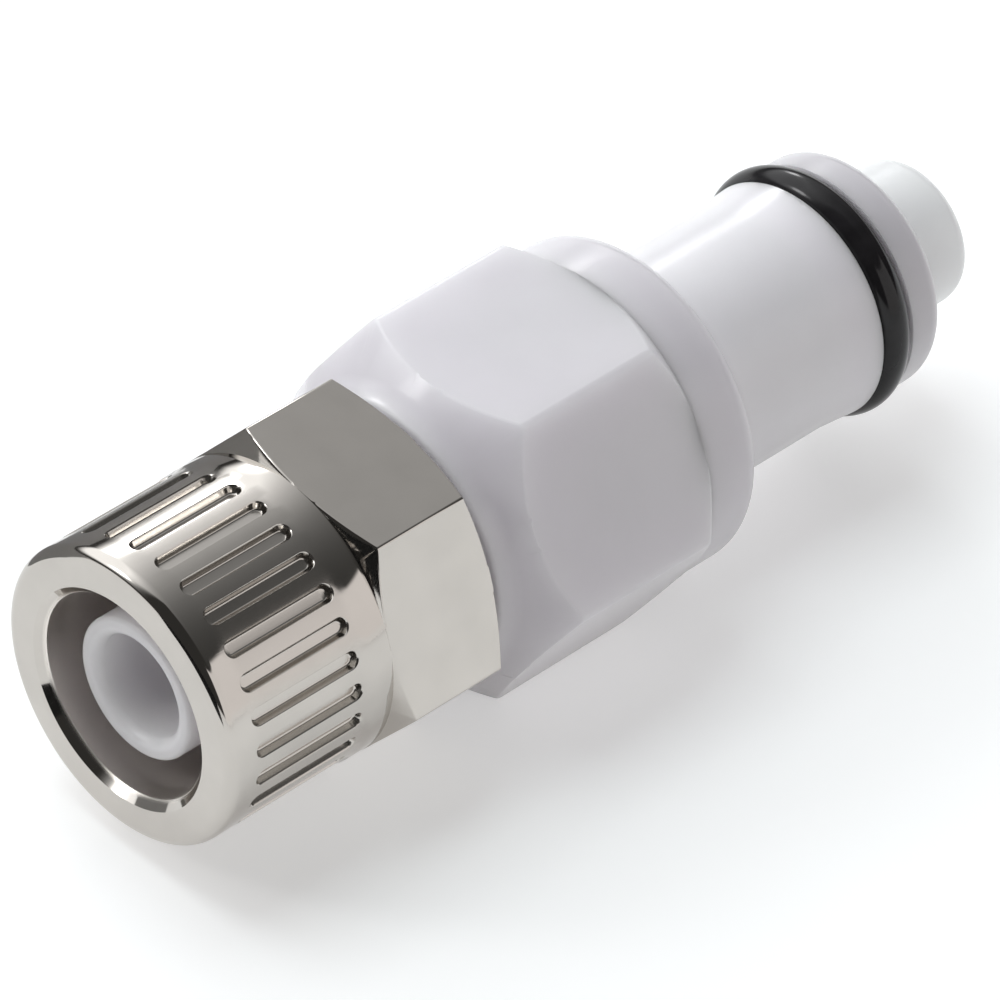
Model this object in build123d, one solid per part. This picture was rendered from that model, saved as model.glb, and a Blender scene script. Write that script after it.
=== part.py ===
from build123d import *
import os
from math import cos, radians, tan

# Plug half of a valved in-line quick disconnect coupling for 9.5 x 6.35 mm (3/8 x 1/4 in) tubing.
# Millimetres. The axis is X: the nose points to +X, the nut to -X, and a flat of the body hex
# faces up (+Z). The origin is on the axis, in the front face of the flange, where the nose starts.
# Everything is modelled upright, with its axis on Z, and laid on X at the end.

# Tubing and flow
TUBE_OD = 9.525
TUBE_ID = 6.35
INSERT_GRIP = 0.2        # how far the insert stretches the tube, on the radius
INSERT_WALL = 0.925
TUBE_ENTRY_PLAY = 0.09   # between the tube and the mouth of the nut, on the radius

# Thread between nut and body, as the cylinder through the middle of its flanks
THREAD_STEP = 0.9        # from the mouth of the nut out to the thread
THREAD_PLAY = 0.05
THREAD_RELIEF_DEPTH = 0.4
THREAD_RELIEF_LENGTH = 0.6
THREAD_LEAD_IN = 0.5

# Compression nut
NUT_WALL = 1.3425        # from the thread to a flat, which makes a 14.29 mm (9/16 in) hex
NUT_LENGTH = 15.2
NUT_HEX_LENGTH = 6.0
NUT_CHAMFER_DEG = 25
NUT_CORNER_EDGE = 0.15
NUT_TURN_DEG = 8.1       # hex of the nut against hex of the body, as tightened
BARREL_SETBACK = 0.1     # how far the ribbed barrel lies inside the flats of the hex
BARREL_EDGE = 0.6
BAND_LENGTH = 1.5        # plain band in front of the ribs
COLLAR_SETBACK = 0.015
COLLAR_LENGTH = 1.35     # plain collar between the ribs and the hex
RIB_COUNT = 28
RIB_DEPTH = 0.38
RIB_GAP = 0.7            # width of a groove between two ribs, at the top
RIB_GAP_FLOOR = 0.42
RIB_OFFSET_DEG = 4.1     # middle of a groove past a corner of the hex
MOUTH_CHAMFER = 0.4
SQUEEZE_LENGTH = 1.4     # cone in the nut that squeezes the tube
SQUEEZE_SETBACK = 0.8    # from that cone to the front of the threaded spigot

# Body with the hex
HEX_STEP = 1.585         # from the nut's hex up to the body's, 15.875 mm (5/8 in)
BODY_HEX_LENGTH = 11.05  # from the small end of its front cone to the flange
BODY_CHAMFER_DEG = 45
BODY_CORNER_EDGE = 0.25
NECK_SETBACK = 1.0       # from a flat of the hex in to the neck
NECK_LENGTH = 0.8
NECK_BEVEL = 0.2
NUT_STANDOFF = 0.4       # air between the tightened nut and the neck
SPIGOT_LENGTH = 6.0
INSERT_RECESS = 1.0      # end of the insert behind the front of the nut
INSERT_EDGE = 0.35
INSERT_CONE_PLAY = 0.15  # between the cone that flares the tube and the size of the nut's mouth
INSERT_CONE_LENGTH = 1.8
FUNNEL_LENGTH = 1.5

# Valve
STEM_D = 7.1
STEM_PROUD = 4.15
STEM_EDGE = 0.9
STEM_PLAY = 0.07
STEM_WALL = 1.25
STEM_BEVEL = 0.3
PORT_COUNT = 3
PORT_WIDTH = 2.2
PORT_LENGTH = 2.6
PORT_SETBACK = 0.6       # from the seal groove to the ports
HEAD_RISE = 0.45         # from the stem out to the head
HEAD_THICKNESS = 1.2
SEAL_SECTION = 1.0
SEAL_GROOVE_DEPTH = 0.45
SEAL_SIDE_PLAY = 0.025
SEAT_CLEARANCE = 0.05    # between the closed seal and its seat
SEAT_SETBACK = 0.95      # from the nose O-ring's groove to the small end of the seat
BOSS_LENGTH = 0.6
BOSS_PLAY = 0.1
TAIL_D = 2.5
TAIL_BEVEL = 0.3
TAIL_PLAY = 0.06
TAIL_PAST_GUIDE = 0.4

# Nose, its flange and the plug that goes into the hex body
HEAD_FLOW_PLAY = 0.6     # room for the flow round the valve head, which sets the chamber
NOSE_WALL = 0.95
NOSE_LENGTH = 13.85
NOSE_ROOT = 0.6
FLARE_RISE = 0.2
FLARE_LENGTH = 2.2
FLARE_BLEND = 8.0
LIP_LENGTH = 2.1
LIP_EDGE = 0.9
MOUTH_BEVEL = 0.3
RING_SECTION = 1.78
RING_PROUD = 0.35        # how far the O-ring stands out of the lip
RING_SIDE_PLAY = 0.065
FLANGE_SETBACK = 0.0375  # how far the flange lies inside the flats of the hex
FLANGE_LENGTH = 3.25
FLANGE_EDGE = 1.0
FLANGE_BACK_BEVEL = 0.2
PLUG_WALL = 1.8
PLUG_LENGTH = 4.55
PLUG_PLAY = 0.03
BODY_SEAL_SECTION = 0.9
BODY_SEAL_SIDE_PLAY = 0.1
BODY_SEAL_SETBACK = 1.3

# Spring and its guide
SPRING_PLAY = 0.65       # between the spring and the chamber
WIRE_D = 0.7
ACTIVE_COILS = 5
GUIDE_THICKNESS = 1.6
GUIDE_PLAY = 0.05
GUIDE_SHELF = 0.05       # how far the rim of the guide reaches inside the spring
GUIDE_HUB_WALL = 0.64
GUIDE_SPOKES = 3
SPOKE_WIDTH = 1.1

# How the solids are drawn
LAP = 1.0                # how far cuts and joined solids run past the face where they meet
RING_SIDE_COUNT = 12     # sides that stand for the round section of a rubber ring
WIRE_SIDE_COUNT = 8      # sides that stand for the round section of the spring wire

# Stations along the axis, from the front face of the flange
flange_back = -FLANGE_LENGTH
hex_front = flange_back - BODY_HEX_LENGTH
neck_front = hex_front - NECK_LENGTH
spigot_front = neck_front - SPIGOT_LENGTH
nut_back = neck_front - NUT_STANDOFF
nut_front = nut_back - NUT_LENGTH
insert_end = nut_front + INSERT_RECESS
plug_back = flange_back - PLUG_LENGTH
guide_back = plug_back - GUIDE_THICKNESS
funnel_back = guide_back - FUNNEL_LENGTH
groove_front = NOSE_LENGTH - LIP_LENGTH
groove_back = groove_front - RING_SECTION - 2 * RING_SIDE_PLAY
seat_front = groove_back - SEAT_SETBACK
stem_tip = NOSE_LENGTH + STEM_PROUD

# Radii from the tube outwards
insert_r = TUBE_ID / 2 + INSERT_GRIP
flow_r = insert_r - INSERT_WALL
mouth_r = TUBE_OD / 2 + TUBE_ENTRY_PLAY
thread_r = mouth_r + THREAD_STEP
nut_bore_r = thread_r + THREAD_PLAY
nut_flat_r = nut_bore_r + NUT_WALL
body_flat_r = nut_flat_r + HEX_STEP / 2
flange_r = body_flat_r - FLANGE_SETBACK

# Radii from the valve stem outwards
stem_r = STEM_D / 2
guide_bore_r = stem_r + STEM_PLAY
head_r = stem_r + HEAD_RISE
seal_groove_r = stem_r - SEAL_GROOVE_DEPTH
seal_r = seal_groove_r + SEAL_SECTION / 2
chamber_r = head_r + HEAD_FLOW_PLAY
nose_r = chamber_r + NOSE_WALL
flare_r = nose_r + FLARE_RISE
ring_groove_r = flare_r + RING_PROUD - RING_SECTION
plug_r = chamber_r + PLUG_WALL
spring_outer_r = chamber_r - SPRING_PLAY
spring_inner_r = spring_outer_r - WIRE_D
guide_open_r = spring_inner_r - GUIDE_SHELF

# The closed seal lies SEAT_CLEARANCE from the 45 degree seat, and its groove is cut round it.
seal_z = seat_front + guide_bore_r - seal_r - (SEAL_SECTION / 2 + SEAT_CLEARANCE) * 2 ** 0.5
head_front = seal_z - SEAL_SECTION / 2 - SEAL_SIDE_PLAY
seal_groove_front = seal_z + SEAL_SECTION / 2 + SEAL_SIDE_PLAY
head_back = head_front - HEAD_THICKNESS
seat_back = seat_front - (chamber_r - guide_bore_r)


def turned(*corners):
    """Solid of revolution about Z from closed corners, each (radius, z) or (radius, z, fillet)."""
    points = [(corner[0], 0, corner[1]) for corner in corners]
    fillets = [corner[2] if len(corner) == 3 else 0 for corner in corners]
    outline = FilletPolyline(*points, radius=fillets, close=True)
    return revolve(make_face(outline), Axis.Z)


def hex_bar(flat_r, low, high, corner_edge):
    """Hexagonal bar with flats facing +X and -X, flat_r from its axis."""
    outline = RegularPolygon(flat_r, 6, major_radius=False, rotation=30)
    outline = fillet(outline.vertices(), corner_edge)
    return Pos(0, 0, low) * extrude(outline, high - low)


def past_corners_r(flat_r):
    return flat_r / cos(radians(30)) + LAP


def ring(section, inner_r, z):
    outline = Pos(inner_r + section / 2, z) * RegularPolygon(section / 2, RING_SIDE_COUNT)
    return revolve(Plane.XZ * outline, Axis.Z)


def compression_nut():
    barrel_r = nut_flat_r - BARREL_SETBACK
    collar_r = nut_flat_r - COLLAR_SETBACK
    wide_r = past_corners_r(nut_flat_r)
    hex_start = nut_back - NUT_HEX_LENGTH
    bevel = tan(radians(NUT_CHAMFER_DEG))
    bar = Rot(0, 0, NUT_TURN_DEG) * hex_bar(nut_flat_r, hex_start, nut_back, NUT_CORNER_EDGE)
    bar &= turned(
        (0, hex_start),
        (collar_r, hex_start),
        (wide_r, hex_start + (wide_r - collar_r) * bevel),
        (wide_r, nut_back - (wide_r - collar_r) * bevel),
        (collar_r, nut_back),
        (0, nut_back),
    )
    ribs_start = nut_front + BAND_LENGTH
    ribs_end = hex_start - COLLAR_LENGTH
    barrel = turned(
        (0, nut_front),
        (barrel_r, nut_front, BARREL_EDGE),
        (barrel_r, ribs_end),
        (collar_r, ribs_end),
        (collar_r, hex_start + LAP),
        (0, hex_start + LAP),
    )
    nut = barrel + bar
    floor_r = barrel_r - RIB_DEPTH
    groove = Plane.XY.offset(ribs_start) * Polygon(
        (floor_r, -RIB_GAP_FLOOR / 2),
        (barrel_r + RIB_DEPTH, RIB_GAP_FLOOR / 2 - RIB_GAP),
        (barrel_r + RIB_DEPTH, RIB_GAP - RIB_GAP_FLOOR / 2),
        (floor_r, RIB_GAP_FLOOR / 2),
        align=None,
    )
    groove = extrude(groove, ribs_end - ribs_start)
    first = NUT_TURN_DEG + 30 + RIB_OFFSET_DEG
    nut -= [Rot(0, 0, first + i * 360 / RIB_COUNT) * groove for i in range(RIB_COUNT)]
    squeeze_end = spigot_front - SQUEEZE_SETBACK
    return nut - turned(
        (0, nut_front - LAP),
        (mouth_r + MOUTH_CHAMFER, nut_front - LAP),
        (mouth_r + MOUTH_CHAMFER, nut_front),
        (mouth_r, nut_front + MOUTH_CHAMFER),
        (mouth_r, squeeze_end - SQUEEZE_LENGTH),
        (nut_bore_r, squeeze_end),
        (nut_bore_r, nut_back - THREAD_LEAD_IN),
        (nut_bore_r + THREAD_LEAD_IN, nut_back),
        (nut_bore_r + THREAD_LEAD_IN, nut_back + LAP),
        (0, nut_back + LAP),
    )


def hex_body():
    neck_r = body_flat_r - NECK_SETBACK
    relief_r = thread_r - THREAD_RELIEF_DEPTH
    cone_r = mouth_r - INSERT_CONE_PLAY
    socket_r = plug_r + PLUG_PLAY
    wide_r = past_corners_r(body_flat_r)
    bevel = tan(radians(BODY_CHAMFER_DEG))
    bar = hex_bar(body_flat_r, hex_front, flange_back, BODY_CORNER_EDGE)
    bar &= turned(
        (0, hex_front),
        (neck_r, hex_front),
        (wide_r, hex_front + (wide_r - neck_r) * bevel),
        (wide_r, flange_back - (wide_r - body_flat_r) * bevel),
        (body_flat_r, flange_back),
        (0, flange_back),
    )
    spigot = turned(
        (0, insert_end),
        (insert_r, insert_end, INSERT_EDGE),
        (insert_r, spigot_front - INSERT_CONE_LENGTH),
        (cone_r, spigot_front),
        (thread_r - THREAD_LEAD_IN, spigot_front),
        (thread_r, spigot_front + THREAD_LEAD_IN),
        (thread_r, neck_front - THREAD_RELIEF_LENGTH),
        (relief_r, neck_front - THREAD_RELIEF_LENGTH),
        (relief_r, neck_front),
        (neck_r - NECK_BEVEL, neck_front),
        (neck_r, neck_front + NECK_BEVEL),
        (neck_r, hex_front + LAP),
        (0, hex_front + LAP),
    )
    inside = turned(
        (0, insert_end - LAP),
        (flow_r, insert_end - LAP),
        (flow_r, funnel_back),
        (guide_open_r, guide_back),
        (socket_r, guide_back),
        (socket_r, flange_back + LAP),
        (0, flange_back + LAP),
    )
    return bar + spigot - inside


def nose_body():
    body_groove_r = plug_r - BODY_SEAL_SECTION
    body_groove_back = plug_back + BODY_SEAL_SETBACK
    body_groove_front = body_groove_back + BODY_SEAL_SECTION + 2 * BODY_SEAL_SIDE_PLAY
    return turned(
        (chamber_r, plug_back),
        (plug_r, plug_back),
        (plug_r, body_groove_back),
        (body_groove_r, body_groove_back),
        (body_groove_r, body_groove_front),
        (plug_r, body_groove_front),
        (plug_r, flange_back),
        (flange_r - FLANGE_BACK_BEVEL, flange_back),
        (flange_r, flange_back + FLANGE_BACK_BEVEL),
        (flange_r, 0, FLANGE_EDGE),
        (nose_r, 0, NOSE_ROOT),
        (nose_r, groove_back - FLARE_LENGTH, FLARE_BLEND),
        (flare_r, groove_back),
        (ring_groove_r, groove_back),
        (ring_groove_r, groove_front),
        (flare_r, groove_front),
        (flare_r, NOSE_LENGTH, LIP_EDGE),
        (guide_bore_r + MOUTH_BEVEL, NOSE_LENGTH),
        (guide_bore_r, NOSE_LENGTH - MOUTH_BEVEL),
        (guide_bore_r, seat_front),
        (chamber_r, seat_back),
    )


def valve_stem():
    bore_r = stem_r - STEM_WALL
    boss_r = spring_inner_r - BOSS_PLAY
    ports_back = seal_groove_front + PORT_SETBACK
    tail_r = TAIL_D / 2
    tail_end = guide_back - TAIL_PAST_GUIDE
    stem = turned(
        (0, tail_end),
        (tail_r - TAIL_BEVEL, tail_end),
        (tail_r, tail_end + TAIL_BEVEL),
        (tail_r, head_back - BOSS_LENGTH),
        (boss_r, head_back - BOSS_LENGTH),
        (boss_r, head_back),
        (head_r, head_back),
        (head_r, head_front),
        (seal_groove_r, head_front),
        (seal_groove_r, seal_groove_front),
        (stem_r, seal_groove_front),
        (stem_r, stem_tip, STEM_EDGE),
        (bore_r + STEM_BEVEL, stem_tip),
        (bore_r, stem_tip - STEM_BEVEL),
        (bore_r, ports_back),
        (0, ports_back),
    )
    port = Pos(stem_r, 0, ports_back + PORT_LENGTH / 2) * Box(2 * bore_r, PORT_WIDTH, PORT_LENGTH)
    return stem - [Rot(0, 0, i * 360 / PORT_COUNT) * port for i in range(PORT_COUNT)]


def spring_guide():
    bore_r = TAIL_D / 2 + TAIL_PLAY
    hub_r = bore_r + GUIDE_HUB_WALL
    rim = Circle(plug_r - GUIDE_PLAY) - Circle(guide_open_r)
    spoke = Pos((hub_r + guide_open_r) / 2, 0) * Rectangle(guide_open_r - hub_r + LAP, SPOKE_WIDTH)
    web = rim + Circle(hub_r) + [Rot(0, 0, i * 360 / GUIDE_SPOKES) * spoke for i in range(GUIDE_SPOKES)]
    return Pos(0, 0, guide_back) * extrude(web - Circle(bore_r), GUIDE_THICKNESS)


def valve_spring():
    """Compression spring with closed, ground ends, from the guide to the head of the valve."""
    coil_r = spring_outer_r - WIRE_D / 2
    pitch = (head_back - plug_back - 2 * WIRE_D) / ACTIVE_COILS
    path = Wire([
        Helix(WIRE_D, WIRE_D, coil_r, center=(0, 0, plug_back)),
        Helix(pitch, ACTIVE_COILS * pitch, coil_r, center=(0, 0, plug_back + WIRE_D)),
        Helix(WIRE_D, WIRE_D, coil_r, center=(0, 0, head_back - WIRE_D)),
    ])
    start = Plane(origin=path @ 0, x_dir=(1, 0, 0), z_dir=path % 0)
    section = start * RegularPolygon(WIRE_D / 2, WIRE_SIDE_COUNT)
    ground = Pos(0, 0, plug_back) * extrude(Circle(spring_outer_r + LAP), head_back - plug_back)
    return sweep(section, path=path, is_frenet=True) & ground


pieces = {
    "compression_nut": compression_nut(),
    "hex_body": hex_body(),
    "nose_body": nose_body(),
    "nose_oring": ring(RING_SECTION, ring_groove_r, (groove_back + groove_front) / 2),
    "valve_stem": valve_stem(),
    "valve_seal": ring(SEAL_SECTION, seal_groove_r, seal_z),
    "valve_spring": valve_spring(),
    "spring_guide": spring_guide(),
    "body_seal": ring(
        BODY_SEAL_SECTION,
        plug_r - BODY_SEAL_SECTION,
        plug_back + BODY_SEAL_SETBACK + BODY_SEAL_SIDE_PLAY + BODY_SEAL_SECTION / 2,
    ),
}

# Lay the upright model down: its Z becomes X, and its X becomes Z.
laid = Plane(origin=(0, 0, 0), x_dir=(0, 0, 1), z_dir=(1, 0, 0)).location
os.makedirs("parts", exist_ok=True)
for name, piece in pieces.items():
    export_step(laid * piece, f"parts/{name}.step")
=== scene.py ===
from math import atan2, cos, pi, radians, sin, tan

import bmesh
import bpy
from bpy.props import FloatProperty, FloatVectorProperty, IntProperty, PointerProperty
from mathutils import Matrix, Quaternion, Vector


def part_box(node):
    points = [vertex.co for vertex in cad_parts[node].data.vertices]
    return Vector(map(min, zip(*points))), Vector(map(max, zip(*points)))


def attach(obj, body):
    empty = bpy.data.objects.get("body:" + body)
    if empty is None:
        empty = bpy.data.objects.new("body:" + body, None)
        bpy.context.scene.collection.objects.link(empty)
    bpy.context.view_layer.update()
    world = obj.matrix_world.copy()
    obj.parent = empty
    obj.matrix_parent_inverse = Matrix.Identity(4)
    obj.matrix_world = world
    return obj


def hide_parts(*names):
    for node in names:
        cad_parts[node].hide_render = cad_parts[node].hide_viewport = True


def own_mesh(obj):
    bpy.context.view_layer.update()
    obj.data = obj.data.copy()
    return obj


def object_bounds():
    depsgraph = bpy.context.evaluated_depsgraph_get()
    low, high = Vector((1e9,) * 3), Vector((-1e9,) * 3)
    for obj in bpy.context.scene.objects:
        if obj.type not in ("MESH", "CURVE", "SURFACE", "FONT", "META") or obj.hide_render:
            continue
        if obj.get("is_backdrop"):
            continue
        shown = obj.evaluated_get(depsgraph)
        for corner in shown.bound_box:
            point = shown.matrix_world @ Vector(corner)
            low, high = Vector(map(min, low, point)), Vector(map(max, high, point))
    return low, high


# Plug half of a quick disconnect coupling, dressed for its picture. Metres. The axis is X: the
# nose points to +X and the nut to -X. Angles about the axis run from +Z towards -Y.

bl_info = {
    "name": "Quick Disconnect Coupling",
    "version": (1, 0, 0),
    "blender": (4, 5, 0),
    "location": "3D View > Sidebar > Coupling",
    "description": "Models and finishes the plug half of a quick disconnect coupling",
    "category": "Add Mesh",
}

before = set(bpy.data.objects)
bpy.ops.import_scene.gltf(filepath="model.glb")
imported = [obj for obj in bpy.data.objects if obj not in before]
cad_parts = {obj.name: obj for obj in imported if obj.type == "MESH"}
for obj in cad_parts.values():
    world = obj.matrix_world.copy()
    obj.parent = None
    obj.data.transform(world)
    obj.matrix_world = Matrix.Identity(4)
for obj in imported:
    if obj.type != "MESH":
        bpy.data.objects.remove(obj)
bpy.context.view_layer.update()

MM = 0.001
ARC_STEPS = 8            # faces in a rounded edge
FINE_ARC_STEPS = 12      # the same on the nose and the stem
GROOVE_ARC_STEPS = 5     # the same on the cutter for the grooves
MERGE = 1e-7             # points nearer than this are one point
MILLED_MERGE = 20 * MERGE
SMOOTH_ANGLE = radians(21)
HEX_SIDES = 6
CORNER_LEAN = 0.9        # least share of a corner edge's length that runs along the axis
CORNER_REACH = 1.1       # least radius of a corner edge, in distances of the flats
ARC_REACH = 1.005        # least radius of a chamfer arc, in distances of the flats
FLAT_SLOPE = 0.01        # most that a flat's normal leans along the axis
CHAMFER_SLOPE = 0.4      # least that a chamfer's normal leans along the axis
GROOVE_FLARE = 1.5       # how far the groove cutter widens above the ribs, in groove edges
FLARE_RATIO = 3          # width of that widening over its height
CORE_RATIO = 20          # width of the cutter's floor over the radius of its first ring
AXIS_R = 0.05 * MM       # radius of the first ring of the turned stem

# Finishes: roughnesses, depths that light goes in to, and factors on a tint; the factors in the bores
# are painted light, and those by the O-ring painted shade
NOISE_RANGE = (0.3, 0.7)
RELIEF = 0.01 * MM
NICKEL_ROUGHNESS = (0.05, 0.09)
NICKEL_TINTS = (0.96, 1.03)
# Painted light: the nickel's colour is made lighter in the bore
NICKEL_PAINTED_LIGHT_IN_BORE = 1.5
MORE_ROUGH_IN_BORE = 0.3
MORE_ROUGH_ON_RIBS = 0.13
MOULDED_ROUGHNESS = (0.38, 0.46)
MOULDED_TINTS = (0.98, 1.015)
# Painted light: the moulding's colour is made lighter in its bore
MOULDED_PAINTED_LIGHT_IN_BORE = 1.24
COAT_WEIGHT = 0.5
COAT_ROUGHNESS = 0.16
BODY_DEPTH = 2.6 * MM
NOSE_DEPTH = 1.4 * MM
STEM_DEPTH = 3.5 * MM
NOSE_TINT = 1.19         # the nose against the body
FLANGE_SHADE = 0.8       # and along the nose, from the flange to the lip
NOSE_SHADE = 0.97
# Painted shade: the nose is made darker towards the O-ring and along the lip past it
FLARE_PAINTED_SHADE = 0.9
LIP_PAINTED_SHADES = (0.7, 0.68)
RUBBER_ROUGHNESS = (0.09, 0.16)
RUBBER_TINTS = (0.8, 1.5)
STEEL_ROUGHNESS = (0.22, 0.36)
STEEL_TINTS = (0.9, 1.05)


def length(name, description, value):
    """A size in metres, from millimetres."""
    return FloatProperty(name=name, description=description, default=value * MM, unit="LENGTH")


def turn_by(name, description, degrees):
    """An angle in radians, from degrees."""
    return FloatProperty(name=name, description=description, default=radians(degrees), unit="ROTATION")


def number(name, description, value, least=1):
    return IntProperty(name=name, description=description, default=value, min=least)


def colour(name, description, value):
    return FloatVectorProperty(
        name=name, description=description, default=value, size=3, subtype="COLOR", min=0, max=1
    )


class NutSizes(bpy.types.PropertyGroup):
    """Sizes of the compression nut"""

    flat_r: length("Flat", "From the axis to a flat of the hex", 7.145)
    hex_length: length("Hex length", "Length of the hex along the axis", 6.0)
    turn: turn_by("Turn", "Turn of the hex, as tightened", 8.1)
    chamfer: turn_by("Chamfer", "Slope of the turned chamfer", 25)
    corner_edge: length("Corner edge", "Rounding of the edges of the hex, as its setback", 0.0866)
    chamfer_edge: length("Chamfer edge", "Rounding between flats and chamfers, as its setback", 0.06)
    barrel_setback: length("Barrel setback", "Ribbed barrel inside the flats", 0.1)
    barrel_edge: length("Barrel edge", "Rounding of the front edge", 0.6)
    band_length: length("Band", "Plain band in front of the ribs", 1.5)
    collar_setback: length("Collar setback", "Collar inside the flats", 0.015)
    collar_slope: length("Collar slope", "Length of the rise from the ribs to the collar", 0.3)
    collar_length: length("Collar", "Plain collar between ribs and hex", 1.35)
    rib_depth: length("Rib depth", "Depth of the grooves between the ribs", 0.38)
    groove_floor: length("Groove floor", "Width of a groove at its floor", 0.58)
    groove_width: length("Groove width", "Width of a groove at the top of its walls", 0.84)
    groove_floor_edge: length("Groove floor edge", "Rounding between floor and walls", 0.12)
    groove_edge: length("Groove edge", "Softening of the edges of the ribs", 0.2)
    groove_setback: length("Groove setback", "From the collar to the grooves", 0.32)
    rib_count: number("Ribs", "Number of ribs", 28, 3)
    rib_offset: turn_by("Rib offset", "From a corner of the hex to a groove", 4.1)
    mouth_r: length("Mouth", "Radius of the tube's way in", 4.8525)
    mouth_chamfer: length("Mouth chamfer", "Chamfer of the mouth", 0.4)
    squeeze_front: length("Squeeze cone", "From the front of the nut to the squeezing cone", 7.4)
    squeeze_length: length("Squeeze length", "Length of the squeezing cone", 1.4)
    bore_r: length("Bore", "Radius of the bore behind the cone", 5.8025)
    lead_in: length("Lead-in", "Chamfer at the back of the bore", 0.5)
    sides: number("Sides", "Sides of the turned nut", 252, 24)
    groove_sides: number("Groove sides", "Sides of the cutter for a groove", 32, 8)
    corner_steps: number("Corner steps", "Faces in the rounding of the edges of the hex", 4)
    chamfer_steps: number("Chamfer steps", "Faces in the rounding between flats and chamfers", 3)


class BodySizes(bpy.types.PropertyGroup):
    """Sizes of the moulded body with the hex"""

    flat_r: length("Flat", "From the axis to a flat of the hex", 7.9375)
    hex_length: length("Hex length", "From the small end of the front cone to the flange", 11.05)
    corner_edge: length("Corner edge", "Rounding of the edges of the hex, as its setback", 0.2309)
    chamfer_edge: length("Chamfer edge", "Rounding between flats and cones, as its setback", 0.1)
    neck_setback: length("Neck setback", "From a flat in to the neck", 1.0)
    neck_length: length("Neck", "Length of the neck", 0.8)
    neck_edge: length("Neck edge", "Rounding of the neck", 0.2)
    neck_blend: length("Neck blend", "Rounding from the neck into the hex", 1.3)
    thread_r: length("Thread", "Radius of the threaded spigot", 5.7525)
    relief_depth: length("Relief depth", "Depth of the thread relief", 0.4)
    relief_length: length("Relief length", "Length of the thread relief", 0.6)
    lead_in: length("Lead-in", "Chamfer at the front of the thread", 0.5)
    spigot_length: length("Spigot", "Length of the threaded spigot", 6.0)
    cone_r: length("Cone", "Wide end of the cone that flares the tube", 4.7025)
    cone_length: length("Cone length", "Length of that cone", 1.8)
    insert_r: length("Insert", "Outer radius of the tube insert", 3.375)
    insert_edge: length("Insert edge", "Rounding of the insert's end", 0.2)
    insert_mouth: length("Insert mouth", "Rounding into the bore of the insert", 0.5)
    flow_r: length("Flow", "Radius of the way through", 2.45)
    funnel_length: length("Funnel", "Length of the funnel behind the guide", 1.5)
    guide_thickness: length("Guide", "Thickness of the spring guide", 1.6)
    guide_open_r: length("Guide opening", "Opening inside the rim of the guide", 3.2)
    socket_r: length("Socket", "Radius of the socket for the nose", 6.43)
    sides: number("Sides", "Sides of the turned body", 192, 24)
    corner_steps: number("Corner steps", "Faces in the rounding of the edges of the hex", 6)
    chamfer_steps: number("Chamfer steps", "Faces in the rounding between flats and cones", 3)


class NoseSizes(bpy.types.PropertyGroup):
    """Sizes of the nose with its flange, and of its O-ring"""

    chamber_r: length("Chamber", "Radius of the valve chamber", 4.6)
    plug_r: length("Plug", "Radius of the plug inside the body", 6.4)
    seal_groove_depth: length("Seal groove depth", "Groove for the inner seal", 0.9)
    seal_groove_length: length("Seal groove length", "Width of that groove", 1.1)
    seal_groove_back: length("Seal groove back", "From the end of the plug to the groove", 1.3)
    flange_length: length("Flange", "Length of the flange", 3.25)
    flange_edge: length("Flange edge", "Rounding of the flange", 1.0)
    flange_back_bevel: length("Flange back bevel", "Bevel at the back of the flange", 0.03)
    nose_r: length("Nose", "Radius of the nose", 5.55)
    nose_root: length("Nose root", "Rounding between flange and nose", 0.6)
    flare_rise: length("Flare", "Rise of the nose towards the O-ring", 0.2)
    flare_length: length("Flare length", "Length of that rise", 2.2)
    flare_blend: length("Flare blend", "Rounding into that rise", 8.0)
    lip_length: length("Lip", "Length of the lip past the O-ring", 2.1)
    lip_edge: length("Lip edge", "Rounding of the lip", 0.9)
    ring_side_play: length("Ring play", "Room beside the O-ring", 0.065)
    bore_r: length("Guide bore", "Radius of the bore for the valve stem", 3.62)
    mouth_bevel: length("Mouth bevel", "Bevel of that bore", 0.3)
    seat_setback: length("Valve seat", "From the O-ring's groove to the valve seat", 0.95)
    root_length: length("Root length", "From the flange to where the nose has its full shade", 1.5)
    sides: number("Sides", "Sides of the turned nose", 240, 24)
    ring_sides: number("Ring sides", "Sides of the O-ring", 200, 24)
    ring_section_sides: number("Ring section sides", "Sides of the O-ring's section", 48, 8)


class StemSizes(bpy.types.PropertyGroup):
    """Sizes of the valve stem"""

    stem_r: length("Stem", "Radius of the stem", 3.55)
    tip_edge: length("Tip edge", "Rounding of the tip", 0.9)
    wall: length("Wall", "Wall of the hollow stem", 1.25)
    mouth_bevel: length("Mouth bevel", "Bevel of the bore", 0.3)
    head_front: length("Head", "Station of the front of the valve head", 7.607)
    head_thickness: length("Head thickness", "Thickness of the valve head", 1.2)
    seal_groove_r: length("Seal groove", "Floor of the groove for the valve seal", 3.1)
    seal_groove_length: length("Seal groove length", "Width of that groove", 1.05)
    boss_r: length("Boss", "Radius of the boss that centres the spring", 3.15)
    boss_length: length("Boss length", "Length of that boss", 0.6)
    tail_r: length("Tail", "Radius of the guided tail", 1.25)
    tail_bevel: length("Tail bevel", "Bevel of the tail", 0.3)
    port_setback: length("Port setback", "From the seal groove to the ports", 0.6)
    port_length: length("Port length", "Length of a port", 2.6)
    port_width: length("Port width", "Width of a port", 2.2)
    port_count: number("Ports", "Number of ports", 3)
    sides: number("Sides", "Sides of the turned stem", 180, 24)


class SpringSizes(bpy.types.PropertyGroup):
    """Sizes of the valve spring"""

    wire: length("Wire", "Diameter of the wire", 0.7)
    coils: number("Coils", "Active coils between the closed ends", 5)
    coil_steps: number("Coil steps", "Steps in a coil", 32, 8)
    wire_sides: number("Wire sides", "Sides of the wire", 12, 6)


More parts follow.
